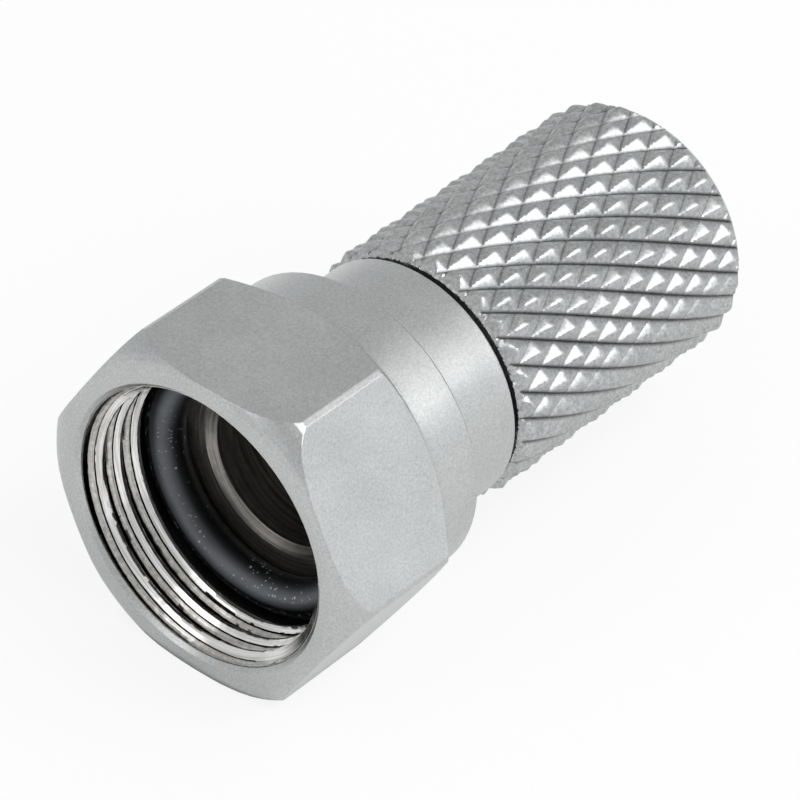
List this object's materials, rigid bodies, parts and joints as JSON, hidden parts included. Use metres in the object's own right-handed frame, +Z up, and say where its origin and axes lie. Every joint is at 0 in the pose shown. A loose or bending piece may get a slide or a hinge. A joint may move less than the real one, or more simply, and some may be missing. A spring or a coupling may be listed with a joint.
{
  "type": "f connector",
  "caption": "Twist-on F connector for coaxial cable: a hex coupling nut that turns freely on a knurled sleeve, with a rubber ring seal inside.",
  "frame": {"origin": "centre of the nut's front face, where the port screws in", "axes": "+X along the connector's axis towards the cable end, +Z up, with a flat of the hex facing straight down"},
  "size_m": [0.0217, 0.0126, 0.011],
  "materials": {
    "coupling_nut": "satin nickel plate",
    "knurled_sleeve": "satin nickel plate",
    "flanged_ferrule": "nickel plate",
    "o_ring": "matt black rubber"
  },
  "bodies": {
    "nut": {"coupling_nut": "coupling_nut"},
    "barrel": {"knurled_sleeve": "knurled_sleeve", "flanged_ferrule": "flanged_ferrule", "o_ring": "o_ring"}
  },
  "joints": [
    {"name": "coupling_swivel", "type": "hinge", "parent": "nut", "child": "barrel", "pos_m": [0, 0, 0], "axis": [1, 0, 0], "continuous": true}
  ]
}
